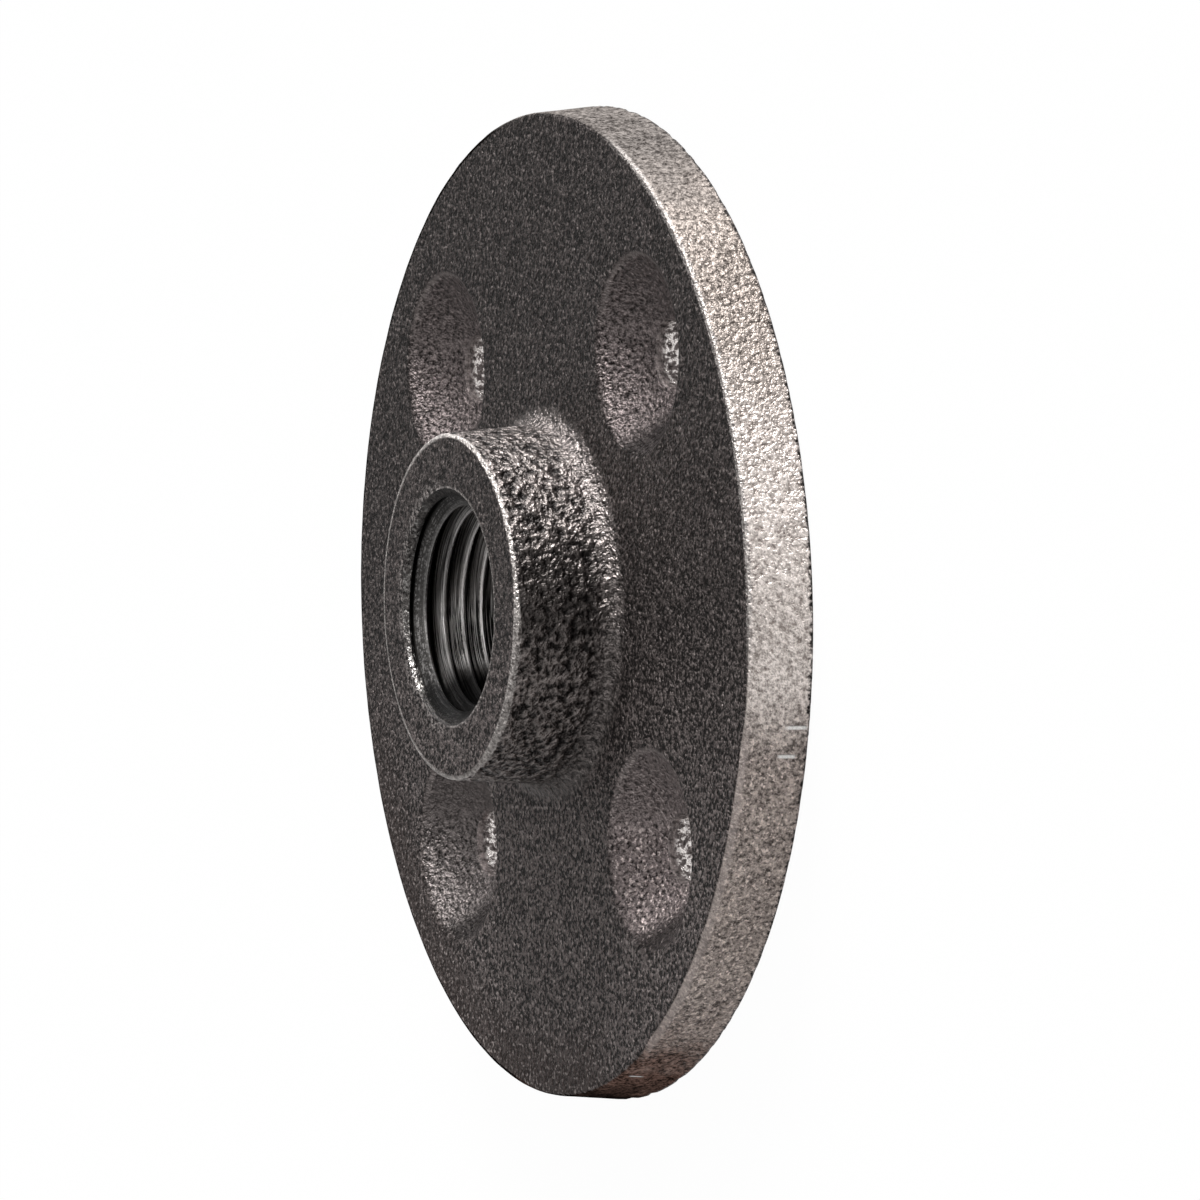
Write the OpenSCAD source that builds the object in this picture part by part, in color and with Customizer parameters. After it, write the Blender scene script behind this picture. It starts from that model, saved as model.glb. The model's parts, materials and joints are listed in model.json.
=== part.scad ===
// Threaded floor flange, cast in one piece: a round plate with a hub, a central bore for a pipe thread
// and a ring of dished screw holes. The back face lies at z = 0 and the bore runs along +Z.

/* [Plate] */
// Diameter of the plate at its back face
plate_d = 90; // [84:0.5:120]
// Thickness of the plate
plate_t = 6; // [4.5:0.1:10]
// Draft of the plate's rim, in degrees
rim_draft = 5.5; // [0:0.5:8]
// Rounding of the rim's front edge
front_edge_r = 0.4; // [0.2:0.1:2]
// Rounding of the rim's back edge
back_edge_r = 0.2; // [0.1:0.1:1.5]

/* [Hub] */
// Diameter of the hub at its end face
hub_d = 31.2; // [26:0.2:35]
// Height of the hub's end face above the back of the plate
total_h = 15.5; // [12:0.1:30]
// Draft of the hub's side, in degrees
hub_draft = 4; // [0:0.5:8]
// Rounding of the hub's end edge
hub_edge_r = 0.5; // [0.2:0.1:1.5]
// Fillet between the hub and the plate
hub_fillet_r = 1.8; // [0.6:0.1:3]

/* [Bore] */
// Diameter of the bore at the thread's crests
bore_d = 18.3; // [15:0.05:20]
// Diameter of the countersink at the bore's mouth
mouth_d = 21.4; // [20.5:0.1:24]
// Full angle of the countersink, in degrees
mouth_angle = 90; // [60:5:120]
// Chamfer at the bore's back end
back_chamfer = 0.8; // [0.2:0.1:2]

/* [Screw holes] */
// Number of screw holes
hole_count = 4; // [3:1:6]
// Diameter of the circle through the hole centres
hole_circle_d = 62; // [57:0.5:66]
// Angle of the first hole from +X, in degrees
first_hole_angle = 45; // [0:1:90]
// Diameter of a screw hole
hole_d = 6; // [4:0.1:8]
// Diameter of a dish at the plate's face
dish_d = 18.2; // [14:0.1:22]
// Depth of a dish at its centre
dish_depth = 3.6; // [2:0.1:4]
// Rounding of a dish's lip
dish_lip_r = 0.8; // [0.2:0.1:1.5]

/* [Hidden] */
$fn = 96;

// How far a cutter runs past the face that it opens
overrun = 1;
// How far an arc reaches past the lines that it meets, so that no sliver is left between them
arc_overlap = 0.0003;

plate_r = plate_d / 2;
rim_front_r = plate_r - plate_t * tan(rim_draft);
hub_r = hub_d / 2;
hub_foot_r = hub_r + (total_h - plate_t) * tan(hub_draft);
bore_r = bore_d / 2;
mouth_r = mouth_d / 2;
mouth_depth = (mouth_r - bore_r) / tan(mouth_angle / 2);

// Corners of the half section as [radius, height, rounding], counter-clockwise from the bore's back end
corners = [
    [bore_r + back_chamfer, 0, 0],
    [plate_r, 0, back_edge_r],
    [rim_front_r, plate_t, front_edge_r],
    [hub_foot_r, plate_t, hub_fillet_r],
    [hub_r, total_h, hub_edge_r],
    [mouth_r, total_h, 0],
    [bore_r, total_h - mouth_depth, 0],
    [bore_r, back_chamfer, 0]
];
corner_count = len(corners);

// The dish is part of a ball, whose centre lies on the hole's axis above the plate's face
dish_ball_r = (pow(dish_d / 2, 2) + pow(dish_depth, 2)) / (2 * dish_depth);
dish_ball_z = plate_t - dish_depth + dish_ball_r;

// The lip is an arc that meets the plate's face and the ball without a crease
lip_z = plate_t - dish_lip_r;
lip_r = sqrt(pow(dish_ball_r + dish_lip_r, 2) - pow(dish_ball_z - lip_z, 2));
ball_share = dish_ball_r / (dish_ball_r + dish_lip_r);
lip_seam_r = lip_r * ball_share;
lip_seam_z = dish_ball_z + (lip_z - dish_ball_z) * ball_share;

function unit(v) = v / norm(v);
function place(i) = [corners[i].x, corners[i].y];
function rounding(i) = corners[i].z;

// Directions from a corner towards the corners before and after it
function back_way(i) = unit(place((i + corner_count - 1) % corner_count) - place(i));
function on_way(i) = unit(place((i + 1) % corner_count) - place(i));
function half_angle(i) = acos(back_way(i) * on_way(i)) / 2;
function is_outward(i) = cross(on_way(i), back_way(i)) > 0;

// A rounded corner is cut off between the ends of its arc
function arc_reach(i) = rounding(i) / tan(half_angle(i));
function cut_corner(i) = rounding(i) > 0
    ? [place(i) + back_way(i) * arc_reach(i), place(i) + on_way(i) * arc_reach(i)]
    : [place(i)];
function arc_centre(i) = place(i) + unit(back_way(i) + on_way(i)) * rounding(i) / sin(half_angle(i));

// The full circles of the arcs at the outward corners, or at the inward ones
module corner_circles(outward) {
    for (i = [0 : corner_count - 1])
        if (rounding(i) > 0 && is_outward(i) == outward)
            translate(arc_centre(i)) circle(r = rounding(i) + arc_overlap);
}

// Half section of the casting, with radius along X and height along Y
module half_section() {
    difference() {
        union() {
            polygon([for (i = [0 : corner_count - 1]) each cut_corner(i)]);
            corner_circles(outward = true);
        }
        corner_circles(outward = false);
    }
}

// Half section of a dish: the ball below the plate's face, widened to the face and trimmed by the lip's arc
module dish_section() {
    difference() {
        union() {
            intersection() {
                translate([0, dish_ball_z]) circle(r = dish_ball_r);
                translate([0, plate_t - dish_depth - overrun]) square([lip_r, dish_depth + overrun]);
            }
            polygon([
                [0, lip_seam_z],
                [lip_seam_r, lip_seam_z],
                [lip_r, plate_t],
                [lip_r, plate_t + overrun],
                [0, plate_t + overrun]
            ]);
        }
        translate([lip_r, lip_z]) circle(r = dish_lip_r + arc_overlap);
    }
}

// Cutter for one dished screw hole, on its own axis
module dished_hole() {
    rotate_extrude() dish_section();
    translate([0, 0, -overrun]) cylinder(d = hole_d, h = plate_t + overrun);
}

module floor_flange() {
    color("#3d3a38")
    difference() {
        rotate_extrude() half_section();
        for (i = [0 : hole_count - 1])
            rotate([0, 0, first_hole_angle + i * 360 / hole_count])
                translate([hole_circle_d / 2, 0, 0])
                    dished_hole();
    }
}

floor_flange();
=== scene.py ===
"""Threaded floor flange: the casting's looks, the camera and the light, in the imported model's frame."""
import json
import math

import bpy
from mathutils import Matrix, Vector


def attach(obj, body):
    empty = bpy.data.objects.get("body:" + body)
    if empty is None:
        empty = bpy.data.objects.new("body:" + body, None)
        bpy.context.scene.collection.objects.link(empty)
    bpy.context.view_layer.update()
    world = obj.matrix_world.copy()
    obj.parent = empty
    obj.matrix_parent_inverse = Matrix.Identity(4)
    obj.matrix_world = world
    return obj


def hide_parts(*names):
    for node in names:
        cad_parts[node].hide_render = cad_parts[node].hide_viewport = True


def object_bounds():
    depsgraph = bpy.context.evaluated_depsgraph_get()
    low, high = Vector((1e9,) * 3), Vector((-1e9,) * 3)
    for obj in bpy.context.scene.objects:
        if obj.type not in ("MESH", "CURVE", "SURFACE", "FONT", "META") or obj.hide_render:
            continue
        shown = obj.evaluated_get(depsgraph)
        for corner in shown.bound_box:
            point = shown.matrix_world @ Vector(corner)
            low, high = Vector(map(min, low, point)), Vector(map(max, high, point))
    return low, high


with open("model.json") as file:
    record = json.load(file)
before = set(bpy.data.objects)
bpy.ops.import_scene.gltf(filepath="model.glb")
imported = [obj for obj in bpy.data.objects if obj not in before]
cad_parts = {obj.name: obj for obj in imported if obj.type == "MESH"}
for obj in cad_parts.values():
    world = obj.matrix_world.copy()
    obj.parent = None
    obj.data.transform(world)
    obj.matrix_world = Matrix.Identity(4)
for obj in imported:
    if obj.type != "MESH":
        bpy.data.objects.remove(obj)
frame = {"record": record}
cad_low, cad_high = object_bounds()
mounts = {mount["name"]: mount["dims"] for mount in frame["record"]["mounts"]}

# Sizes of the casting, in metres, as the part's source has them
MM = 0.001
TOTAL_H = cad_high.z
PLATE_R = 45 * MM
PLATE_T = 6 * MM
RIM_DRAFT = math.radians(5.5)
FRONT_EDGE_R = 0.4 * MM
BACK_EDGE_R = 0.2 * MM
RIM_FRONT_R = PLATE_R - PLATE_T * math.tan(RIM_DRAFT)

HUB_R = 15.6 * MM
HUB_DRAFT = math.radians(4)
HUB_EDGE_R = 0.5 * MM
HUB_FILLET_R = 1.8 * MM
HUB_FOOT_R = HUB_R + (TOTAL_H - PLATE_T) * math.tan(HUB_DRAFT)

BORE_R = mounts["pipe_thread"]["r_mm"] * MM
MOUTH_R = 10.7 * MM
BACK_MOUTH_R = BORE_R + 0.8 * MM

HOLE_COUNT = mounts["screw_holes"]["count"]
HOLE_CIRCLE_R = mounts["screw_holes"]["pcd_mm"] / 2 * MM
HOLE_R = mounts["screw_holes"]["hole_r_mm"] * MM
HOLE_BREAK = 0.15 * MM
DISH_R = 9.1 * MM
DISH_DEPTH = 3.6 * MM
DISH_LIP_R = 0.8 * MM

# Each screw hole's axis lies on a diagonal, this far along X and along Y
HOLE_REACH = HOLE_CIRCLE_R * math.sqrt(0.5)

# The dish is part of a ball, and its lip is an arc between the ball and the plate's face
BALL_R = (DISH_R ** 2 + DISH_DEPTH ** 2) / (2 * DISH_DEPTH)
BALL_Z = PLATE_T - DISH_DEPTH + BALL_R
LIP_Z = PLATE_T - DISH_LIP_R
LIP_R = math.sqrt((BALL_R + DISH_LIP_R) ** 2 - (BALL_Z - LIP_Z) ** 2)

# Half-inch taper pipe thread with 14 turns to the inch
THREAD_PITCH = 25.4 / 14 * MM
THREAD_DEPTH = 1.4 * MM
THREAD_TAPER = 1 / 32
CREST_FLAT = 0.03
ROOT_FLAT = 0.02
FLANK_STEPS = 4
FIRST_CREST = 1.6 * MM
CREST_TURN = (0.5 - (TOTAL_H - FIRST_CREST) / THREAD_PITCH) % 1

# Steps of the mesh: round a quarter of the rim and of the hub, and along a sector's side
RIM_STEPS = 100
HUB_STEPS = 80
SIDE_STEPS = 30

# Steps of the sections: over each rounding, down the dish, and across a sector's face and back
HUB_EDGE_STEPS = 5
FILLET_STEPS = 9
FRONT_EDGE_STEPS = 7
BACK_EDGE_STEPS = 5
LIP_STEPS = 4
BALL_STEPS = 17
FACE_ROWS = 10
BACK_ROWS = 4

# About how far apart points lie along the straight lines of the sections
HUB_END_STEP = 0.6 * MM
HUB_SIDE_STEP = 0.27 * MM
FACE_STEP = 0.3 * MM
RIM_STEP = 0.5 * MM
HOLE_STEP = 0.8 * MM

# Points nearer to each other than this are joined, and edges sharper than this stay sharp
SEAM = 0.01 * MM
CREASE = math.radians(38)

# Where the dished sectors end on the face and the rim's own section starts
FACE_R = 42.4 * MM

# The front edge is ground to a bevel along a cone, between two angles, and runs out over short stretches
BEVEL_R = 43.8 * MM
BEVEL_TILT = math.radians(32)
BEVEL_FROM = math.radians(-68)
BEVEL_TO = math.radians(-14)
BEVEL_RUN_IN = 0.15
BEVEL_RUN_OUT = 0.05

# Heights of the cast skin's lumps, fine and broad, and depth of the small nicks in the rim's back edge
HUB_LUMPS = 0.3 * MM
DISH_LUMPS = 0.14 * MM
HUB_SWELL = 0.2 * MM
RIM_SWELL = 0.1 * MM
EDGE_NICKS = 0.16 * MM

# Bright nicks on the rim: angle in degrees, height above the back face, and half the length upwards
NICKS = ((-14.5, 1.2 * MM, 1.25 * MM), (-17.8, 1.9 * MM, 1.0 * MM), (-71.5, 4.4 * MM, 0.8 * MM))
NICK_WIDTH = 0.24 * MM


def radians(*degrees):
    return [math.radians(angle) for angle in degrees]


class Wire:
    """An output of a node. Arithmetic on wires and numbers adds Math nodes to their tree."""

    def __init__(self, tree, socket):
        self.tree = tree
        self.socket = socket

    def __getitem__(self, name):
        """Another output of the same node."""
        return Wire(self.tree, self.socket.node.outputs[name])

    def __add__(self, other):
        return self.tree.math("ADD", self, other)

    def __radd__(self, other):
        return self.tree.math("ADD", other, self)

    def __sub__(self, other):
        return self.tree.math("SUBTRACT", self, other)

    def __rsub__(self, other):
        return self.tree.math("SUBTRACT", other, self)

    def __mul__(self, other):
        return self.tree.math("MULTIPLY", self, other)

    def __rmul__(self, other):
        return self.tree.math("MULTIPLY", other, self)

    def __truediv__(self, other):
        return self.tree.math("DIVIDE", self, other)

    def __pow__(self, other):
        return self.tree.math("POWER", self, other)

    def __abs__(self):
        return self.tree.math("ABSOLUTE", self)

    def __lt__(self, other):
        return self.tree.math("LESS_THAN", self, other)

    def __gt__(self, other):
        return self.tree.math("GREATER_THAN", self, other)


class Tree:
    """A tree of nodes, for a material or for a shape."""

    def __init__(self, node_tree):
        self.nodes = node_tree.nodes
        self.links = node_tree.links

    def add(self, kind, settings=None, inputs=None):
        """A node of that kind: its settings first, then values or wires for its sockets."""
        node = self.nodes.new(kind)
        for name, value in (settings or {}).items():
            setattr(node, name, value)
        for key, value in (inputs or {}).items():
            self.feed(self.find(node.inputs, key), value)
        usable = [socket for socket in node.outputs if socket.enabled]
        return Wire(self, usable[0]) if usable else node

    def find(self, sockets, key):
        """The socket at that place, or the usable one of that name."""
        if isinstance(key, int):
            return sockets[key]
        return next(socket for socket in sockets if socket.enabled and socket.name == key)

    def feed(self, socket, value):
        for item in value if isinstance(value, list) else [value]:
            if isinstance(item, Wire):
                self.links.new(item.socket, socket)
            else:
                socket.default_value = item

    def math(self, operation, *values):
        return self.add("ShaderNodeMath", {"operation": operation}, dict(enumerate(values)))

    def vector_math(self, operation, *values):
        return self.add("ShaderNodeVectorMath", {"operation": operation}, dict(enumerate(values)))

    def ramp(self, value, start, end, low=0.0, high=1.0):
        """A smooth change from low at the start to high at the end."""
        settings = {"interpolation_type": "SMOOTHSTEP"}
        inputs = {"Value": value, "From Min": start, "From Max": end, "To Min": low, "To Max": high}
        return self.add("ShaderNodeMapRange", settings, inputs)

    def band(self, value, start, end, soft):
        """One between the start and the end, with soft sides."""
        return self.ramp(value, start - soft, start + soft) * self.ramp(value, end + soft, end - soft)

    def mixed(self, factor, low, high):
        """A colour between two, each given as red, green and blue or as a wire."""
        low, high = [tone if isinstance(tone, Wire) else (*tone, 1) for tone in (low, high)]
        return self.add("ShaderNodeMix", {"data_type": "RGBA"}, {"Factor": factor, "A": low, "B": high})

    def noise(self, place, size, detail=2.0, roughness=0.5):
        """Even noise from 0 to 1 with grains of that size."""
        inputs = {"Vector": place, "Scale": 1 / size, "Detail": detail, "Roughness": roughness}
        return self.add("ShaderNodeTexNoise", {"noise_dimensions": "3D"}, inputs)

    def xyz(self, vector):
        return self.add("ShaderNodeSeparateXYZ", {}, {"Vector": vector})

    def vector(self, x, y, z):
        return self.add("ShaderNodeCombineXYZ", {}, {"X": x, "Y": y, "Z": z})

    def scaled(self, vector, factor):
        return self.add("ShaderNodeVectorMath", {"operation": "SCALE"}, {0: vector, "Scale": factor})

    def off_axis(self, at):
        """How far a point is from the bore's axis."""
        return (at["X"] * at["X"] + at["Y"] * at["Y"]) ** 0.5

    def off_hole(self, at):
        """How far a point is from the nearest screw hole's axis."""
        away = self.vector(abs(at["X"]) - HOLE_REACH, abs(at["Y"]) - HOLE_REACH, 0.0)
        return self.vector_math("LENGTH", away)["Value"]

    def angle_of(self, at):
        """The angle round the bore's axis, from +X towards +Y."""
        return self.math("ARCTAN2", at["Y"], at["X"])

    def bump(self, height, distance):
        return self.add("ShaderNodeBump", {}, {"Strength": 1.0, "Distance": distance, "Height": height})


def arc(centre, start, end, count):
    """Points round a centre from the start to the end, the short way."""
    radius = (start - centre).length
    turns = [(start - centre).slerp(end - centre, i / count) for i in range(count + 1)]
    return [centre + turn.normalized() * radius for turn in turns]


def rounded(before, corner, after, radius, count):
    """The arc that rounds a corner between two straight lines."""
    before, corner, after = Vector(before), Vector(corner), Vector(after)
    back_way = (before - corner).normalized()
    on_way = (after - corner).normalized()
    half = back_way.angle(on_way) / 2
    reach = radius / math.tan(half)
    centre = corner + (back_way + on_way).normalized() * radius / math.sin(half)
    return arc(centre, corner + back_way * reach, corner + on_way * reach, count)


def split(start, end, step):
    """Points after the start and up to the end, about a step apart."""
    start, end = Vector(start), Vector(end)
    count = max(1, round((end - start).length / step))
    return [start.lerp(end, i / count) for i in range(1, count + 1)]


def hub_section():
    """From the bore's mouth over the hub's end and side to the fillet's foot."""
    mouth = (MOUTH_R, TOTAL_H)
    top = (HUB_R, TOTAL_H)
    foot = (HUB_FOOT_R, PLATE_T)
    edge = rounded(mouth, top, foot, HUB_EDGE_R, HUB_EDGE_STEPS)
    fillet = rounded(top, foot, (RIM_FRONT_R, PLATE_T), HUB_FILLET_R, FILLET_STEPS)
    side = split(edge[-1], fillet[0], HUB_SIDE_STEP)
    return [Vector(mouth)] + split(mouth, edge[0], HUB_END_STEP) + edge[1:] + side + fillet[1:]


def rim_section():
    """From the plate's face over the front edge and the rim to the back face."""
    face = (FACE_R, PLATE_T)
    front = (RIM_FRONT_R, PLATE_T)
    back = (PLATE_R, 0)
    front_edge = rounded(face, front, back, FRONT_EDGE_R, FRONT_EDGE_STEPS)
    back_edge = rounded(front, back, (0, 0), BACK_EDGE_R, BACK_EDGE_STEPS)
    rim = split(front_edge[-1], back_edge[0], RIM_STEP)
    return [Vector(face)] + split(face, front_edge[0], FACE_STEP) + front_edge[1:] + rim + back_edge[1:]


def dish_section():
    """Rows of a sector: from its edge on the face down the dish and the hole to its edge on the back.

    Each row holds its distance from the hole's axis, its share of the way out to the sector's edge,
    and its height.
    """
    ball = Vector((0, BALL_Z))
    lip = Vector((LIP_R, LIP_Z))
    seam = ball + (lip - ball).normalized() * BALL_R
    hole_edge_r = HOLE_R + HOLE_BREAK
    hole_edge = Vector((hole_edge_r, BALL_Z - math.sqrt(BALL_R ** 2 - hole_edge_r ** 2)))
    wall = Vector((HOLE_R, hole_edge.y - HOLE_BREAK))
    back = Vector((HOLE_R, 0))
    slope = arc(lip, Vector((LIP_R, PLATE_T)), seam, LIP_STEPS)
    slope += arc(ball, seam, hole_edge, BALL_STEPS)[1:]
    slope += [wall] + split(wall, back, HOLE_STEP)
    face_rows = [Vector((LIP_R, (1 - i / FACE_ROWS) ** 1.5, PLATE_T)) for i in range(FACE_ROWS)]
    back_rows = [Vector((HOLE_R, i / BACK_ROWS, 0)) for i in range(1, BACK_ROWS + 1)]
    return face_rows + [Vector((point.x, 0, point.y)) for point in slope] + back_rows


def sector_edge(outer_r, inner_r):
    """Round a quarter of the plate: along the rim, in along one side, back along the hub, and out."""
    quarter = math.pi / 2
    stretches = (
        [(outer_r, quarter * i / RIM_STEPS) for i in range(RIM_STEPS)]
        + [(outer_r + (inner_r - outer_r) * i / SIDE_STEPS, quarter) for i in range(SIDE_STEPS)]
        + [(inner_r, quarter * (1 - i / HUB_STEPS)) for i in range(HUB_STEPS)]
        + [(inner_r + (outer_r - inner_r) * i / SIDE_STEPS, 0) for i in range(SIDE_STEPS)]
    )
    return [Vector((r * math.cos(angle), r * math.sin(angle), 0)) for r, angle in stretches]


def points_object(name, points):
    """An object that carries points to a tree, and is removed afterwards."""
    mesh = bpy.data.meshes.new(name)
    mesh.from_pydata([p if len(p) == 3 else (p.x, 0, p.y) for p in points], [], [])
    carrier = bpy.data.objects.new(name, mesh)
    bpy.context.scene.collection.objects.link(carrier)
    return carrier


class ShapeTree(Tree):
    """A Geometry Nodes tree whose inputs are named sizes, points and materials."""

    SOCKETS = {
        float: "NodeSocketFloat",
        int: "NodeSocketInt",
        bpy.types.Object: "NodeSocketObject",
        bpy.types.Material: "NodeSocketMaterial",
    }

    def __init__(self, name):
        self.group = bpy.data.node_groups.new(name, "GeometryNodeTree")
        super().__init__(self.group)
        self.entry = self.nodes.new("NodeGroupInput")
        self.values = {}

    def given(self, name, value):
        """A named input of the tree, with the value that the modifier gets."""
        kind = self.SOCKETS[type(value)]
        socket = self.group.interface.new_socket(name, in_out="INPUT", socket_type=kind)
        self.values[socket.identifier] = value
        return Wire(self, self.entry.outputs[name])

    def points(self, name, points):
        """Points as a geometry, through an object that carries them."""
        carrier = self.given(name, points_object(name, points))
        return self.add("GeometryNodeObjectInfo", {}, {"Object": carrier})["Geometry"]

    def point_count(self, points):
        return self.add("GeometryNodeAttributeDomainSize", {"component": "MESH"}, {"Geometry": points})

    def point_at(self, points, index):
        place = self.add("GeometryNodeInputPosition")
        settings = {"data_type": "FLOAT_VECTOR", "domain": "POINT"}
        inputs = {"Geometry": points, "Value": place, "Index": index}
        return self.add("GeometryNodeSampleIndex", settings, inputs)

    def grid(self, columns, rows):
        """A grid that laps over itself by a column, with each point's column and row."""
        mesh = self.add("GeometryNodeMeshGrid", {}, {"Vertices X": columns + 1, "Vertices Y": rows})["Mesh"]
        index = self.add("GeometryNodeInputIndex")
        column = self.math("FLOOR", (index + 0.5) / rows)
        return mesh, column, index - column * rows

    def placed(self, mesh, place):
        return self.add("GeometryNodeSetPosition", {}, {"Geometry": mesh, "Position": place})

    def flipped(self, mesh):
        return self.add("GeometryNodeFlipFaces", {}, {"Mesh": mesh})

    def turned(self, radius, turn, height):
        """The point at a radius and height, that share of a turn round the axis."""
        angle = turn * math.tau
        return self.vector(radius * self.math("COSINE", angle), radius * self.math("SINE", angle), height)

    def lathe(self, section, columns):
        """A section turned round the axis."""
        mesh, column, row = self.grid(columns, self.point_count(section))
        point = self.xyz(self.point_at(section, row))
        return self.placed(self.flipped(mesh), self.turned(point["X"], column / columns, point["Z"]))

    def drop_empty_slot(self, mesh):
        """The tree leaves an unused slot before the materials that it sets."""
        places = [face.material_index - 1 for face in mesh.polygons]
        mesh.materials.pop(index=0)
        mesh.polygons.foreach_set("material_index", places)

    def finish(self, mesh, name):
        """The tree's result as an object with a plain mesh."""
        self.group.interface.new_socket("Geometry", in_out="OUTPUT", socket_type="NodeSocketGeometry")
        self.add("NodeGroupOutput", {}, {"Geometry": mesh})
        piece = bpy.data.objects.new(name, bpy.data.meshes.new(name))
        bpy.context.scene.collection.objects.link(piece)
        modifier = piece.modifiers.new(name, "NODES")
        modifier.node_group = self.group
        for identifier, value in self.values.items():
            modifier[identifier] = value
        evaluated = piece.evaluated_get(bpy.context.evaluated_depsgraph_get())
        made = bpy.data.meshes.new_from_object(evaluated)
        self.drop_empty_slot(made)
        piece.modifiers.clear()
        piece.data = made
        for value in self.values.values():
            if isinstance(value, bpy.types.Object):
                bpy.data.objects.remove(value)
        return piece


def thread_profile():
    """One turn of a vee thread: each row's place along the pitch and its share of the depth."""
    flank = 0.5 - CREST_FLAT - ROOT_FLAT
    down = [Vector((CREST_FLAT + flank * i / FLANK_STEPS, i / FLANK_STEPS)) for i in range(FLANK_STEPS + 1)]
    up = [Vector((1 - row.x, row.y)) for row in reversed(down)]
    return down + up


def threaded_bore(tree, columns):
    """The bore's wall: rows that climb with the thread, cut off at both ends by the mouths' cones."""
    pitch = tree.given("Thread pitch", THREAD_PITCH)
    depth = tree.given("Thread depth", THREAD_DEPTH)
    profile = tree.points("Thread profile", thread_profile())
    lap_rows = tree.point_count(profile)
    laps = math.ceil(TOTAL_H / THREAD_PITCH) + 2
    mesh, column, row = tree.grid(columns, lap_rows * laps + 1)
    turn = column / columns
    lap = tree.math("FLOOR", (row + 0.5) / lap_rows)
    point = tree.xyz(tree.point_at(profile, row - lap * lap_rows))
    climb = (lap + point["X"] - 1 - CREST_TURN + turn) * pitch
    height = tree.add("ShaderNodeClamp", {}, {"Value": climb, "Min": 0.0, "Max": TOTAL_H})
    radius = BORE_R - (TOTAL_H - height) * THREAD_TAPER + depth * point["Z"]
    radius = tree.math("MAXIMUM", radius, MOUTH_R - (TOTAL_H - height))
    radius = tree.math("MAXIMUM", radius, BACK_MOUTH_R - height)
    radius = tree.math("MINIMUM", radius, BACK_MOUTH_R + height)
    return tree.placed(tree.flipped(mesh), tree.turned(radius, turn, height))


def dished_sectors(tree):
    """The face, dish, screw hole and back of a quarter of the plate, four times round the axis."""
    hub_r = hub_section()[-1].x
    back_r = rim_section()[-1].x
    rows = tree.points("Dish rows", dish_section())
    face_edge = tree.points("Sector edge on the face", sector_edge(FACE_R, hub_r))
    back_edge = tree.points("Sector edge on the back", sector_edge(back_r, BACK_MOUTH_R))
    columns = tree.point_count(face_edge)
    mesh, column, row = tree.grid(columns, tree.point_count(rows))
    column = tree.math("MODULO", column, columns)
    row_place = tree.xyz(tree.point_at(rows, row))
    axis_reach = tree.given("Hole circle radius", HOLE_CIRCLE_R) * math.sqrt(0.5)
    axis = tree.vector(axis_reach, axis_reach, 0.0)
    on_face = tree.point_at(face_edge, column)
    on_back = tree.point_at(back_edge, column)
    outwards = tree.vector_math("NORMALIZE", tree.vector_math("SUBTRACT", on_face, axis))
    round_hole = tree.vector_math("ADD", axis, tree.scaled(outwards, row_place["X"]))
    is_face = row_place["Z"] > PLATE_T / 2
    mix = {"data_type": "VECTOR"}
    edge = tree.add("ShaderNodeMix", mix, {"Factor": is_face, "A": on_back, "B": on_face})
    flat = tree.add("ShaderNodeMix", mix, {"Factor": row_place["Y"], "A": round_hole, "B": edge})
    place = tree.vector_math("ADD", flat, tree.vector(0.0, 0.0, row_place["Z"]))
    sector = tree.placed(mesh, place)
    spots = tree.add("GeometryNodeMeshLine", {}, {"Count": HOLE_COUNT, "Offset": (0, 0, 0)})
    turn = tree.vector(0.0, 0.0, tree.add("GeometryNodeInputIndex") * (math.tau / HOLE_COUNT))
    inputs = {"Points": spots, "Instance": sector, "Rotation": turn}
    return tree.add("GeometryNodeInstanceOnPoints", {}, inputs)


def bevelled(tree, mesh):
    """The ground part of the front edge, cut off along a cone."""
    at = tree.xyz(tree.add("GeometryNodeInputPosition"))
    radius = tree.off_axis(at)
    angle = tree.angle_of(at)
    start = tree.ramp(angle, BEVEL_FROM, BEVEL_FROM + BEVEL_RUN_IN)
    end = tree.ramp(angle, BEVEL_TO - BEVEL_RUN_OUT, BEVEL_TO, 1.0, 0.0)
    across, up = math.sin(BEVEL_TILT), math.cos(BEVEL_TILT)
    over = tree.math("MAXIMUM", (radius - BEVEL_R) * across + (at["Z"] - PLATE_T) * up, 0.0)
    cut = over * start * end * -1
    shift = tree.vector(at["X"] / radius * across * cut, at["Y"] / radius * across * cut, cut * up)
    return tree.add("GeometryNodeSetPosition", {}, {"Geometry": mesh, "Offset": shift})


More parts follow.
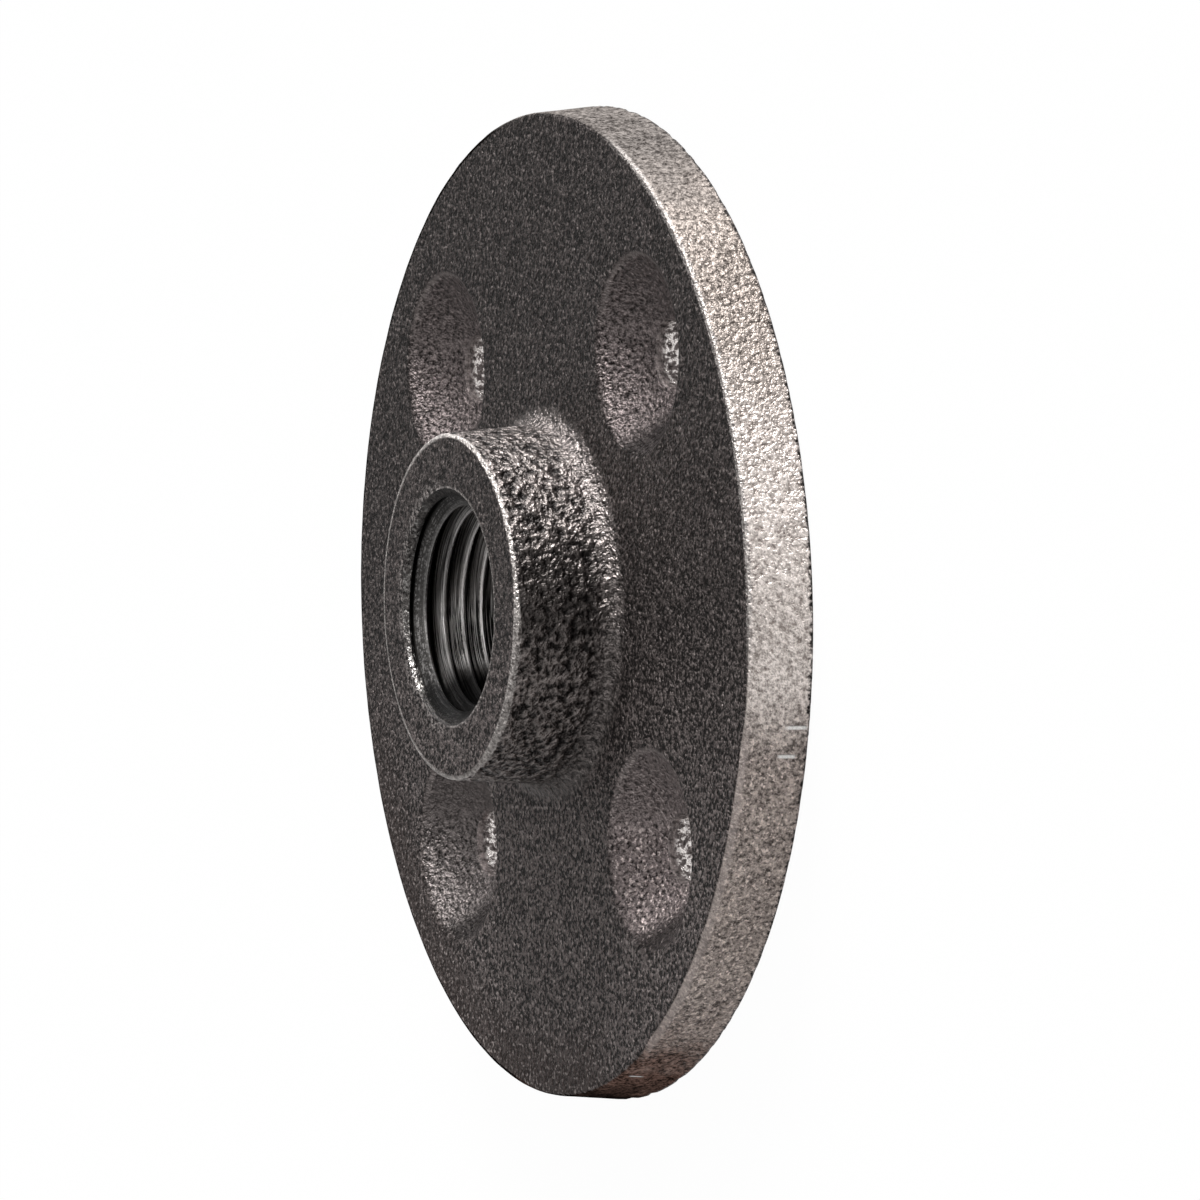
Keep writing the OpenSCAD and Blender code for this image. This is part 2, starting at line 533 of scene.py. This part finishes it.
def lumpy(tree, mesh):
    """The casting's uneven skin: coarse on the hub's side, finer in the dishes and on the rim."""
    place = tree.add("GeometryNodeInputPosition")
    at = tree.xyz(place)
    radius = tree.off_axis(at)
    off_hole = tree.off_hole(at)
    on_hub = tree.ramp(radius, HUB_FOOT_R + 1.9 * MM, HUB_FOOT_R + 1.2 * MM)
    on_hub = on_hub * tree.ramp(at["Z"], TOTAL_H, TOTAL_H - 0.6 * MM) * (at["Z"] > PLATE_T / 2)
    on_hub = on_hub * (radius > MOUTH_R + 1 * MM)
    in_dish = tree.ramp(off_hole, LIP_R, LIP_R - 1 * MM) * (at["Z"] > 0.5 * MM)
    in_dish = in_dish * (off_hole > HOLE_R + 0.3 * MM)
    on_rim = tree.ramp(radius, RIM_FRONT_R - 0.5 * MM, RIM_FRONT_R) * tree.ramp(at["Z"], 0.3 * MM, 0.8 * MM)
    at_back = tree.ramp(radius, PLATE_R - 0.4 * MM, PLATE_R - 0.15 * MM) * (at["Z"] > SEAM)
    fine = tree.noise(place, 0.75 * MM, 1.0) - 0.5
    broad = tree.noise(place, 2.6 * MM, 1.0) - 0.5
    lumps = fine * (on_hub * HUB_LUMPS + in_dish * DISH_LUMPS)
    swell = broad * (on_hub * HUB_SWELL + on_rim * RIM_SWELL)
    nicks = tree.ramp(tree.noise(place, 1.2 * MM, 1.0), 0.52, 0.7) * at_back * EDGE_NICKS
    shift = tree.scaled(tree.add("GeometryNodeInputNormal"), lumps + swell - nicks)
    return tree.add("GeometryNodeSetPosition", {}, {"Geometry": mesh, "Offset": shift})


def casting(skin, cut, drilled):
    """The whole flange as one closed mesh."""
    tree = ShapeTree("floor flange")
    hub_columns = tree.given("Hub columns", HUB_STEPS * 4)
    rim_columns = tree.given("Rim columns", RIM_STEPS * 4)
    skin_finish = tree.given("Skin", skin)
    cut_finish = tree.given("Cut", cut)
    drilled_finish = tree.given("Drilled", drilled)
    hub = tree.lathe(tree.points("Hub section", hub_section()), hub_columns)
    rim = tree.lathe(tree.points("Rim section", rim_section()), rim_columns)
    parts = [hub, rim, threaded_bore(tree, hub_columns), dished_sectors(tree)]
    joined = tree.add("GeometryNodeJoinGeometry", {}, {"Geometry": parts})
    single = tree.add("GeometryNodeRealizeInstances", {}, {"Geometry": joined})
    closed = tree.add("GeometryNodeMergeByDistance", {}, {"Geometry": single, "Distance": SEAM})
    shaped = lumpy(tree, bevelled(tree, closed))
    inputs = {"Geometry": shaped, "Shade Smooth": True}
    smooth = tree.add("GeometryNodeSetShadeSmooth", {"domain": "FACE"}, inputs)
    is_sharp = tree.add("GeometryNodeInputMeshEdgeAngle") > CREASE
    inputs = {"Geometry": smooth, "Selection": is_sharp, "Shade Smooth": False}
    creased = tree.add("GeometryNodeSetShadeSmooth", {"domain": "EDGE"}, inputs)
    at = tree.xyz(tree.add("GeometryNodeInputPosition"))
    in_bore = (tree.off_axis(at) < MOUTH_R) * (at["Z"] > SEAM)
    in_hole = (tree.off_hole(at) < HOLE_R + HOLE_BREAK) * (at["Z"] > SEAM)
    whole = tree.add("GeometryNodeRealizeInstances", {}, {"Geometry": creased})
    skinned = tree.add("GeometryNodeSetMaterial", {}, {"Geometry": whole, "Material": skin_finish})
    inputs = {"Geometry": skinned, "Selection": in_bore, "Material": cut_finish}
    threaded = tree.add("GeometryNodeSetMaterial", {}, inputs)
    inputs = {"Geometry": threaded, "Selection": in_hole, "Material": drilled_finish}
    return tree.finish(tree.add("GeometryNodeSetMaterial", {}, inputs), "flange_casting")


def new_material(name):
    """An empty material and its tree."""
    material = bpy.data.materials.new(name)
    material.use_nodes = True
    material.node_tree.nodes.clear()
    return material, Tree(material.node_tree)


class Skin:
    """The casting's black skin: where a point lies on it, and the colours that it has there."""

    def __init__(self, tree):
        self.tree = tree
        place = tree.add("ShaderNodeTexCoord")["Object"]
        self.at = tree.xyz(place)
        self.radius = tree.off_axis(self.at)
        self.angle = tree.angle_of(self.at)
        # From a quarter turn below at the picture's bottom to one above at its top, alike on both sides
        self.climb = tree.math("ARCTAN2", self.at["Y"], abs(self.at["X"]))
        self.fine = tree.noise(place, 0.2 * MM, 2.0) - 0.5
        self.grain = tree.noise(place, 0.45 * MM, 2.0, 0.6) - 0.5
        self.bark = tree.noise(place, 0.8 * MM, 1.4) - 0.5
        self.patches = tree.noise(place, 5 * MM, 3.0, 0.6) - 0.5
        self.flecks = tree.ramp(tree.noise(place, 0.38 * MM, 2.0), 0.54, 0.7)
        self.lumps = self.cells(place, 0.8 * MM)
        self.pebbles = self.cells(place, 0.5 * MM)
        self.level = self.fine * 1.4 + self.grain * 2.5
        self.mark_rim()
        self.mark_hub()
        self.mark_dishes()

    def cells(self, place, size):
        """Uneven lumps with sharp creases between them, from 1 at their tops down."""
        tree = self.tree
        waver = tree.add("ShaderNodeTexNoise", {}, {"Vector": place, "Scale": 1.2 / size})["Color"]
        shifted = tree.vector_math("ADD", place, tree.scaled(waver, size * 1.2))
        inputs = {"Vector": shifted, "Scale": 1 / size}
        return 1 - tree.add("ShaderNodeTexVoronoi", {}, inputs)["Distance"]

    def from_to(self, start, end):
        """A change between two climbs, given in degrees, along an uneven border."""
        return self.tree.ramp(self.climb + self.patches * 0.35, *radians(start, end))

    def mark_rim(self):
        """Where the rim wears, with its bevel, matt ends and nicks, a painted highlight on the lit arc of
        its front edge, and painted shade along that edge's far side.

        Its far wall and its back edge keep the black skin.
        """
        tree, height = self.tree, self.at["Z"]
        bevel = tree.band(self.angle, BEVEL_FROM + 0.08, BEVEL_TO - 0.02, 0.04)
        at_front = tree.ramp(height + self.grain * 0.2 * MM, PLATE_T - 0.36 * MM, PLATE_T - 0.16 * MM)
        # Painted shade: a nearly black line along the far side of the front edge
        self.shaded_far_edge = tree.ramp(abs(self.angle), *radians(94, 104)) * at_front
        far_wall = abs(self.angle) + self.patches * 0.5 + self.grain * 0.6
        far_wall = tree.ramp(far_wall, *radians(100, 135)) * (1 - at_front)
        off_back = tree.ramp(height + self.grain * 0.9 * MM, 0.15 * MM, 0.4 * MM)
        rim_start = RIM_FRONT_R - 0.2 * MM + self.grain * 0.3 * MM
        rim_start = rim_start - bevel * 0.4 * MM - self.shaded_far_edge * 0.32 * MM
        self.on_rim = tree.ramp(self.radius - rim_start, 0.0, 0.15 * MM) * off_back * (1 - far_wall)
        self.on_bevel = bevel * self.on_rim * tree.ramp(height, PLATE_T - 0.8 * MM, PLATE_T - 0.3 * MM)
        self.is_sandy = tree.ramp(self.angle, BEVEL_TO + 0.1, BEVEL_TO - 0.1)
        is_matt = tree.math("MAXIMUM", self.from_to(44, 66), self.from_to(-52, -73))
        self.is_matt = tree.math("MAXIMUM", is_matt, self.shaded_far_edge) * self.on_rim
        gap = RIM_FRONT_R - self.radius + PLATE_T - height + self.grain * 1.1 * MM
        # Painted highlight: the pale front edge is kept to the arc where light falls on it
        bright = tree.band(self.angle, *radians(-5, 66), 0.1)
        self.front_edge_highlight = tree.ramp(gap, 0.38 * MM, 0.26 * MM) * bright
        self.nicks = 0.0
        for degrees, middle, reach in NICKS:
            off_nick = abs(self.angle - math.radians(degrees)) * PLATE_R
            across = tree.ramp(off_nick, NICK_WIDTH, NICK_WIDTH / 3)
            along = tree.ramp(abs(height - middle), reach, reach / 2)
            self.nicks = self.nicks + across * along * self.on_rim

    def mark_hub(self):
        """Where the hub's side, fillet and rubbed end edge are, and the bore's lip, chipped on the far
        side.
        """
        tree, height = self.tree, self.at["Z"]
        reach = tree.ramp(self.radius, HUB_FOOT_R + 2.2 * MM, HUB_FOOT_R + 0.9 * MM)
        self.on_hub = reach * (height < TOTAL_H - 0.25 * MM) * (height > PLATE_T / 2)
        self.in_fillet = self.on_hub * tree.ramp(height, PLATE_T + 2.6 * MM, PLATE_T + 0.8 * MM)
        middle = tree.vector(self.radius - HUB_R + 0.12 * MM, height - TOTAL_H + 0.12 * MM, 0.0)
        gap = tree.vector_math("LENGTH", middle)["Value"] + self.grain * 0.4 * MM
        width = 0.22 * MM + tree.band(self.angle, *radians(-62, 0), 0.2) * 0.24 * MM
        width = width + tree.ramp(abs(self.angle), *radians(80, 110)) * 0.26 * MM
        self.on_edge = tree.ramp(gap, width + 0.1 * MM, width - 0.1 * MM)
        lip = tree.ramp(self.radius - MOUTH_R + self.grain * 0.3 * MM, 0.28 * MM, 0.1 * MM)
        near = tree.ramp(abs(self.angle), *radians(115, 85))
        chipped = tree.ramp(self.radius - MOUTH_R, 1.5 * MM, 0.2 * MM) * tree.ramp(self.grain, -0.04, 0.12)
        lip = lip * near + chipped * (1 - near)
        self.on_mouth = lip * (height > TOTAL_H - 0.1 * MM)

    def mark_dishes(self):
        """Where the dishes are, with their dull heads, painted shade on their lower right feet, and painted
        highlights on their lips.
        """
        tree = self.tree
        off_hole = tree.off_hole(self.at)
        right = self.at["X"] - tree.math("SIGN", self.at["X"]) * HOLE_REACH
        up = self.at["Y"] - tree.math("SIGN", self.at["Y"]) * HOLE_REACH
        self.in_dish = tree.ramp(off_hole, LIP_R, LIP_R - 0.9 * MM) * (self.at["Z"] > 0.5 * MM)
        # Painted shade: each dish's lower right side, its foot, is darkened
        self.dish_foot_shade = tree.ramp(right * 0.39 - up * 0.92 + self.grain * 4 * MM, 4.3 * MM, 6.7 * MM)
        self.dish_head = self.in_dish * tree.ramp(up + self.grain * 3 * MM, 0.5 * MM, 3.5 * MM)
        self.is_lower_right = (self.at["Y"] < 0.0) * (self.at["X"] > 0.0)
        # Painted highlight: a pale band on the upper and right parts of each dish's lip
        lip = tree.band(off_hole + self.grain * 0.6 * MM, LIP_R - 0.75 * MM, LIP_R - 0.4 * MM, 0.15 * MM)
        self.lip_highlight = lip * tree.ramp(up + right * 0.5, -2 * MM, 3 * MM) * (self.at["Z"] > PLATE_T / 2)

    def face_colour(self):
        """Dark and smooth above, coarser below and lighter there by painted light, and brownish at the
        plate's lower left.
        """
        tree = self.tree
        lower = tree.ramp(self.at["Y"], 5 * MM, -28 * MM)
        on_end = self.at["Z"] > TOTAL_H - 0.3 * MM
        # Painted light: a lighter tone on the lower face, besides its coarser grain
        level = self.level * (1.0 + lower * 2.6) + 0.15 + lower * 0.13 + on_end * 0.1
        scale = tree.mixed(level, (0.015, 0.0127, 0.012), (0.19, 0.161, 0.154))
        lower_left = tree.ramp(self.angle + self.patches * 0.35, *radians(-70, -84))
        lower_left = lower_left * tree.ramp(self.angle, *radians(-178, -150))
        rusty = lower_left * tree.ramp(self.radius, 36 * MM, 43 * MM)
        scale = tree.mixed(rusty * 0.6, scale, (0.05, 0.034, 0.03))
        return tree.mixed(self.flecks * (0.6 + lower * 0.35), scale, (0.4, 0.348, 0.333))

    def hub_colour(self):
        """A mottled side, darkened in the middle by painted shade and made paler below by painted light,
        over a plainer fillet.
        """
        tree = self.tree
        mottle = self.bark * 2.5 + self.grain * 2 + 0.45
        side = tree.mixed(mottle, (0.015, 0.0131, 0.0125), (0.24, 0.211, 0.2))
        # Painted shade: the middle of the hub's side is darkened
        side = tree.mixed(self.from_to(28, 14) * 0.5, side, (0.02, 0.0175, 0.0167))
        # Painted light: paler colours on the lower side
        mottle = self.bark * 3 + self.grain * 3 + 0.45
        lower = tree.mixed(mottle, (0.025, 0.022, 0.0209), (0.36, 0.317, 0.302))
        side = tree.mixed(self.from_to(2, -30), side, lower)
        foot = tree.mixed(self.level + 0.5, (0.035, 0.0308, 0.0294), (0.29, 0.256, 0.244))
        return tree.mixed(self.in_fillet, side, foot)

    def dish_colour(self):
        """Dusty, brownish in three dishes and greyish in the lower left one, with painted shade on the foot
        and painted light and glints in the lower right dish.
        """
        tree = self.tree
        lower_right = self.is_lower_right
        lower_left = (self.at["Y"] < 0.0) - lower_right
        # Painted light: the lower right dish is made lighter
        level = self.level * (1 + lower_right * 0.6) + lower_right * 0.3 + 0.48
        brownish = tree.mixed(level, (0.03, 0.0254, 0.0248), (0.33, 0.279, 0.272))
        greyish = tree.mixed(level, (0.03, 0.0264, 0.0256), (0.33, 0.292, 0.282))
        dusty = tree.mixed(lower_left, brownish, greyish)
        dull = self.dish_head * (0.2 + lower_left * 0.4)
        dusty = tree.mixed(dull, dusty, (0.16, 0.139, 0.134))
        # Painted glints: pale flecks in the lower right dish, fewest near its head
        glint_flecks = self.flecks * lower_right * (0.95 - self.dish_head * 0.7)
        dusty = tree.mixed(glint_flecks, dusty, (0.9, 0.778, 0.75))
        # Painted shade over each dish's foot
        return tree.mixed(self.dish_foot_shade * 0.92, dusty, (0.018, 0.0153, 0.0147))

    def rim_colour(self):
        """From the rim's top round to its bottom: brownish grey, tan, bare, sandy, dark brown and black;
        the black is painted shade, the grey and dark brown partly so.
        """
        tree = self.tree
        level = self.level + self.patches * 0.6 + (self.lumps - 0.6) * 0.3 + 0.5
        grey = tree.mixed(level, (0.03, 0.0262, 0.0242), (0.24, 0.217, 0.203))
        tan = tree.mixed(level, (0.08, 0.0656, 0.0568), (0.46, 0.399, 0.361))
        bare = tree.mixed(level * 1.1 + 0.06, (0.29, 0.247, 0.224), (0.95, 0.865, 0.818))
        sandy = tree.mixed(level, (0.07, 0.0543, 0.0473), (0.64, 0.543, 0.492))
        sandy = tree.mixed(self.flecks * 0.85, sandy, (0.95, 0.82, 0.755))
        brown_and_shade = tree.mixed(level, (0.017, 0.0105, 0.0086), (0.35, 0.212, 0.17))
        colour = tree.mixed(self.from_to(10, 34), bare, tan)
        # Partly painted shade: greyer towards the rim's top, away from its lit right side
        colour = tree.mixed(self.from_to(44, 66), colour, grey)
        colour = tree.mixed(self.is_sandy, colour, sandy)
        # Partly painted shade: dark brown towards the rim's bottom
        colour = tree.mixed(self.from_to(-52, -73), colour, brown_and_shade)
        # Painted shade: nearly black at the rim's bottom
        colour = tree.mixed(self.from_to(-70, -88), colour, (0.006, 0.005, 0.0048))
        # Painted shade: the nearly black line along the far front edge
        colour = tree.mixed(self.shaded_far_edge, colour, (0.006, 0.0053, 0.005))
        colour = tree.mixed(self.on_bevel * 0.45, colour, (0.56, 0.485, 0.458))
        return tree.mixed(self.nicks, colour, (0.95, 0.93, 0.91))

    def colour(self):
        """The face, then the hub, dishes and rim over it, bare metal along the hub's rubbed end edge, and a
        painted highlight on the front edge.
        """
        tree = self.tree
        colour = tree.mixed(self.on_hub, self.face_colour(), self.hub_colour())
        colour = tree.mixed(self.in_dish, colour, self.dish_colour())
        # Painted highlight on the dishes' lips
        colour = tree.mixed(self.lip_highlight * 0.5, colour, (0.42, 0.37, 0.355))
        colour = tree.mixed(self.on_rim, colour, self.rim_colour())
        bare = tree.mixed(self.level + 0.5, (0.2, 0.18, 0.17), (0.75, 0.7, 0.67))
        colour = tree.mixed(self.on_mouth * 0.5, colour, bare)
        # Real wear on the hub's end edge, and a painted highlight on the rim's front edge
        wear_and_highlight = tree.math("MAXIMUM", self.on_edge, self.front_edge_highlight)
        return tree.mixed(wear_and_highlight * 0.9, colour, bare)

    def relief(self):
        """The height of the skin's grains and lumps, in millimetres."""
        grit = 0.4 + self.in_dish * 0.15 - self.on_rim * 0.12 - self.on_hub * 0.1 + self.in_fillet * 0.1
        crumpled = (self.on_hub - self.in_fillet * 0.5) * 0.75
        dished = (self.in_dish - self.dish_head * 0.6) * (0.2 + self.is_lower_right * 0.1)
        lumpy = self.on_hub * 0.1 + dished
        pebbly = self.on_rim * 0.16 + dished
        grains = grit * self.grain + self.fine * 0.1
        lumps = crumpled * self.bark + lumpy * self.lumps + pebbly * self.pebbles
        return grains + lumps - self.nicks * 0.15


def black_skin():
    """As-cast iron under black scale, pale and bare on the rim and rubbed edges, matt at the rim's ends,
    and with painted light and shade in places.
    """
    material, tree = new_material("black_cast_skin")
    skin = Skin(tree)
    colour = skin.colour()
    bump = tree.bump(skin.relief(), 1 * MM)
    rough = 0.48 - skin.on_hub * 0.12 + skin.fine * 0.3 + skin.on_rim * skin.is_sandy * 0.2
    metal = 0.9 + skin.in_dish * 0.05 - skin.on_rim * (0.1 + skin.is_sandy * 0.5)
    inputs = {"Base Color": colour, "Roughness": rough, "Metallic": metal, "Normal": bump}
    shiny = tree.add("ShaderNodeBsdfPrincipled", {}, inputs)
    inputs = {"Base Color": colour, "Roughness": 1.0, "Specular IOR Level": 0.0, "Normal": bump}
    matt = tree.add("ShaderNodeBsdfPrincipled", {}, inputs)
    surface = tree.add("ShaderNodeMixShader", {}, {0: skin.is_matt, 1: shiny, 2: matt})
    tree.add("ShaderNodeOutputMaterial", {}, {"Surface": surface})
    return material


def cut_thread():
    """Cut iron: streaked flanks with painted highlights on the crests, painted glints deep on one side and
    painted shade in the roots, torn at one side of the mouth, and painted shade below.
    """
    material, tree = new_material("cut_thread")
    place = tree.add("ShaderNodeTexCoord")["Object"]
    at = tree.xyz(place)
    turn = tree.math("FRACT", tree.angle_of(at) / math.tau + 1) * math.tau
    below_mouth = TOTAL_H - at["Z"]
    crest_r = BORE_R - below_mouth * THREAD_TAPER
    depth = (tree.off_axis(at) - crest_r) / THREAD_DEPTH
    grain = tree.noise(place, 0.3 * MM, 3.0, 0.6) - 0.5
    tears = tree.noise(place, 0.5 * MM, 3.0, 0.65) - 0.5
    along_thread = tree.vector(at["X"] * 16, at["Y"] * 16, depth + at["Z"] * 400)
    streaks = tree.noise(along_thread, 0.09, 2.0)
    is_deep = tree.ramp(below_mouth, 2 * MM, 5 * MM)
    # Painted highlight: pale crests, fainter near the mouth
    crest_highlight = tree.ramp(depth + grain * 0.2, 0.2, 0.05) * (0.1 + is_deep * 0.9)
    # Painted shade: dark thread roots
    root_shade = tree.ramp(depth, 0.72 + is_deep * 0.16, 0.84 + is_deep * 0.16)
    on_mouth = tree.ramp(below_mouth + grain * 0.5 * MM, 0.65 * MM, 0.45 * MM)
    is_torn = tree.band(turn, *radians(120, 224), 0.1)
    is_torn = is_torn * (0.25 + 0.75 * tree.ramp(turn, *radians(198, 212)))
    # Painted shade: the bore's lower side and its mouth there go nearly black
    shade_below = tree.ramp(turn + is_deep * 0.12, *radians(214, 232)) * tree.ramp(turn, *radians(350, 290))
    # Painted glints: bright streaks in a band deep in the bore on one side
    glint_band = tree.band(turn, *radians(176, 212), 0.12) * is_deep
    shade_black = (0.012, 0.0115, 0.0115)
    flank = tree.mixed(tree.ramp(streaks, 0.34, 0.7), (0.07, 0.0669, 0.0656), (0.66, 0.634, 0.62))
    scaly = tree.ramp(below_mouth, 2.8 * MM, 1.4 * MM) * tree.ramp(grain, 0.14, -0.06, 0.6, 1.0)
    flank = tree.mixed(scaly, flank, (0.05, 0.0475, 0.0455))
    glint_streaks = tree.mixed(tree.ramp(streaks, 0.49, 0.55), (0.03, 0.029, 0.028), (1, 0.97, 0.94))
    # Painted glints in that band
    flank = tree.mixed(glint_band, flank, glint_streaks)
    # Painted shade in the roots
    flank = tree.mixed(root_shade, flank, (0.02, 0.019, 0.018))
    # Painted highlight on the crests
    colour = tree.mixed(crest_highlight, flank, (0.85, 0.82, 0.8))
    mouth = tree.mixed(grain * 3 + 0.4, (0.03, 0.028, 0.027), (0.2, 0.184, 0.176))
    mouth = tree.mixed(shade_below * 0.6, mouth, shade_black)
    mouth = tree.mixed(is_torn * tree.ramp(tears, 0.0, 0.12), mouth, (0.9, 0.87, 0.84))
    colour = tree.mixed(on_mouth, colour, mouth)
    # Painted shade over the bore's lower side
    colour = tree.mixed(shade_below * (1 - on_mouth) * 0.93, colour, shade_black)
    height = streaks * (0.03 + glint_band * 0.2) + grain * (0.03 + on_mouth * 0.2)
    bump = tree.bump(height, 1 * MM)
    rough = 0.34 + grain * 0.3
    inputs = {"Base Color": colour, "Roughness": rough, "Metallic": 1.0, "Normal": bump}
    surface = tree.add("ShaderNodeBsdfPrincipled", {}, inputs)
    tree.add("ShaderNodeOutputMaterial", {}, {"Surface": surface})
    return material


def drilled_wall():
    """A screw hole's wall: dusty, with smooth bare spots below that mirror the pale floor."""
    material, tree = new_material("drilled_wall")
    place = tree.add("ShaderNodeTexCoord")["Object"]
    grain = tree.noise(place, 0.5 * MM, 3.0, 0.6)
    height = tree.xyz(place)["Z"]
    bright = tree.ramp(grain, 0.48, 0.55) * tree.ramp(height, 2.3 * MM, 1.7 * MM)
    dusty = tree.mixed(grain * 2 - 0.5, (0.03, 0.0259, 0.0248), (0.45, 0.387, 0.373))
    colour = tree.mixed(bright, dusty, (1, 0.95, 0.92))
    bump = tree.bump(grain, 0.4 * MM)
    rough = 0.5 - bright * 0.35
    inputs = {"Base Color": colour, "Roughness": rough, "Metallic": 0.9, "Normal": bump}
    surface = tree.add("ShaderNodeBsdfPrincipled", {}, inputs)
    tree.add("ShaderNodeOutputMaterial", {}, {"Surface": surface})
    return material


def pale_floor():
    """White to the eye and in reflections, with the object's shadow, and clear from below."""
    material, tree = new_material("pale_floor")
    white_share = 0.97
    path = tree.add("ShaderNodeLightPath")
    seen = tree.math("MAXIMUM", path["Is Camera Ray"], path["Is Glossy Ray"])
    seen = tree.math("MAXIMUM", seen, path["Is Transmission Ray"])
    matt = tree.add("ShaderNodeBsdfDiffuse", {}, {"Color": (0.9, 0.9, 0.9, 1)})
    glow = tree.add("ShaderNodeEmission", {}, {"Color": (1, 1, 1, 1), "Strength": 1.0})
    lit = tree.add("ShaderNodeMixShader", {}, {0: seen * white_share, 1: matt, 2: glow})
    clear = tree.add("ShaderNodeBsdfTransparent")
    under = tree.add("ShaderNodeNewGeometry")["Backfacing"]
    surface = tree.add("ShaderNodeMixShader", {}, {0: under, 1: lit, 2: clear})
    tree.add("ShaderNodeOutputMaterial", {}, {"Surface": surface})
    return material


def make_floor():
    """A wide plane just under the flange's back face."""
    reach = 6.0
    depth = -0.1 * MM
    corners = [(x * reach, y * reach, depth) for x, y in ((-1, -1), (1, -1), (1, 1), (-1, 1))]
    mesh = bpy.data.meshes.new("floor")
    mesh.from_pydata(corners, [], [(0, 1, 2, 3)])
    mesh.materials.append(pale_floor())
    floor = bpy.data.objects.new("floor", mesh)
    bpy.context.scene.collection.objects.link(floor)


def sun(name, towards, strength, spread):
    """A soft lamp that shines from that direction."""
    lamp = bpy.data.lights.new(name, "SUN")
    lamp.energy = strength
    lamp.angle = math.radians(spread)
    holder = bpy.data.objects.new(name, lamp)
    holder.rotation_euler = Vector(towards).to_track_quat("Z", "Y").to_euler()
    bpy.context.scene.collection.objects.link(holder)


def make_light():
    """A strong lamp from the picture's top, two weak ones, and a glow that is white at the floor's end."""
    sun("key_lamp", (-0.08, 0.97, 0.2), 6.0, 25)
    sun("side_lamp", (0.97, 0.16, 0.15), 0.15, 20)
    sun("front_lamp", (0.1, 0.26, 0.96), 0.3, 20)
    world = bpy.data.worlds.new("studio")
    world.use_nodes = True
    world.node_tree.nodes.clear()
    tree = Tree(world.node_tree)
    way = tree.xyz(tree.add("ShaderNodeTexCoord")["Generated"])
    overhead = tree.ramp(way["Z"], 0.5, 0.95) * 0.45
    above = tree.ramp(way["Y"], 0.5, 0.95) * 1.2
    upper = 0.23 + overhead + above
    low = tree.ramp(way["Z"], 0.05, 0.02)
    glow = upper + (1 - upper) * low
    sky = tree.add("ShaderNodeBackground", {}, {"Color": (1, 1, 1, 1), "Strength": glow})
    tree.add("ShaderNodeOutputWorld", {}, {"Surface": sky})
    bpy.context.scene.world = world


def make_camera():
    """The photo's view: the plate seen 23.5 degrees above its face, with the picture's up along +Y."""
    image_size = 1200
    focal_px = 9621
    distance = 872 * MM
    turn = math.radians(66.51)
    roll = math.radians(1.5)
    aim_right = 0.52 * MM
    aim_up = -0.25 * MM
    across = Vector((math.cos(turn), 0, -math.sin(turn)))
    up = Vector((0, 1, 0))
    right = across * math.cos(roll) - up * math.sin(roll)
    upright = across * math.sin(roll) + up * math.cos(roll)
    back = Vector((math.sin(turn), 0, math.cos(turn)))
    lens = bpy.data.cameras.new("camera")
    lens.sensor_width = 36
    lens.lens = focal_px / image_size * lens.sensor_width
    lens.clip_start = 0.01
    lens.clip_end = 100
    camera = bpy.data.objects.new("camera", lens)
    camera.matrix_world = Matrix((right, upright, back)).transposed().to_4x4()
    camera.location = back * distance - right * aim_right - upright * aim_up
    bpy.context.scene.collection.objects.link(camera)
    bpy.context.scene.camera = camera


make_camera()
make_light()
make_floor()
flange = casting(black_skin(), cut_thread(), drilled_wall())
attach(flange, "root")
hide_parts("floor_flange")

bpy.context.scene.view_settings.view_transform = "Standard"
